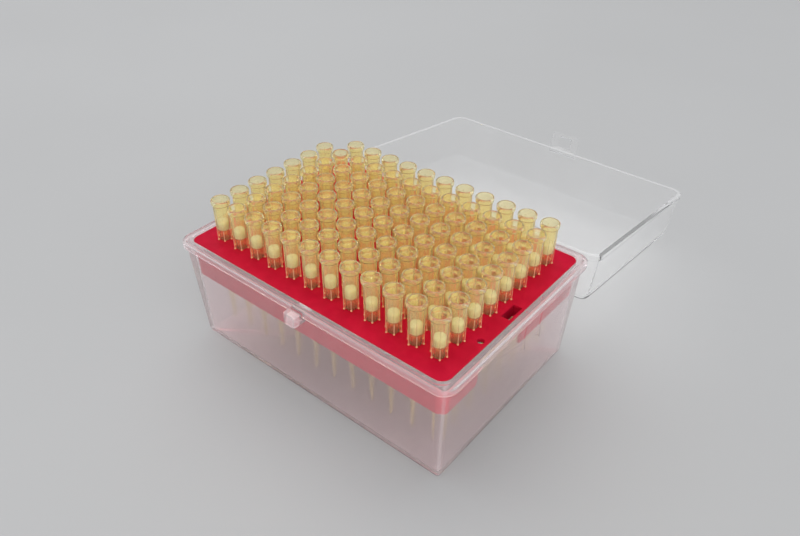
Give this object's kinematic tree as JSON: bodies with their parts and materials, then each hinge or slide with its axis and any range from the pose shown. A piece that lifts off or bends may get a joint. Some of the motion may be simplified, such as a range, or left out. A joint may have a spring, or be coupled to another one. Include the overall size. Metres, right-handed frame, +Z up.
{
  "type": "box of pipette tips",
  "caption": "Rectangular box with a crimson rack of amber filter tips in a milky base; a clear hinged lid lies open behind it, held on two clip hinges.",
  "frame": {"origin": "centre of the base's underside", "axes": "+X along the long sides, +Y from the catch to the hinge, +Z up"},
  "size_m": [0.1242, 0.1873, 0.0605],
  "materials": {
    "milky_plastic": "translucent",
    "crimson_plastic": "satin",
    "clear_plastic": "clear polished",
    "amber_plastic": "translucent",
    "filter_foam": "porous matte"
  },
  "bodies": {
    "box": {"base": "milky_plastic", "rack": "crimson_plastic", "tips_column_01": "amber_plastic", "tips_column_02": "amber_plastic", "tips_column_03": "amber_plastic", "tips_column_04": "amber_plastic", "tips_column_05": "amber_plastic", "tips_column_06": "amber_plastic", "tips_column_07": "amber_plastic", "tips_column_08": "amber_plastic", "tips_column_09": "amber_plastic", "tips_column_10": "amber_plastic", "tips_column_11": "amber_plastic", "tips_column_12": "amber_plastic", "filters_column_01": "filter_foam", "filters_column_02": "filter_foam", "filters_column_03": "filter_foam", "filters_column_04": "filter_foam", "filters_column_05": "filter_foam", "filters_column_06": "filter_foam", "filters_column_07": "filter_foam", "filters_column_08": "filter_foam", "filters_column_09": "filter_foam", "filters_column_10": "filter_foam", "filters_column_11": "filter_foam", "filters_column_12": "filter_foam"},
    "lid": {"lid": "clear_plastic"}
  },
  "joints": [
    {"name": "lid_hinge", "type": "hinge", "parent": "box", "child": "lid", "pos_m": [0, 0.0469, 0.0426], "axis": [1, 0, 0], "range_deg": [0, 187.4]}
  ]
}
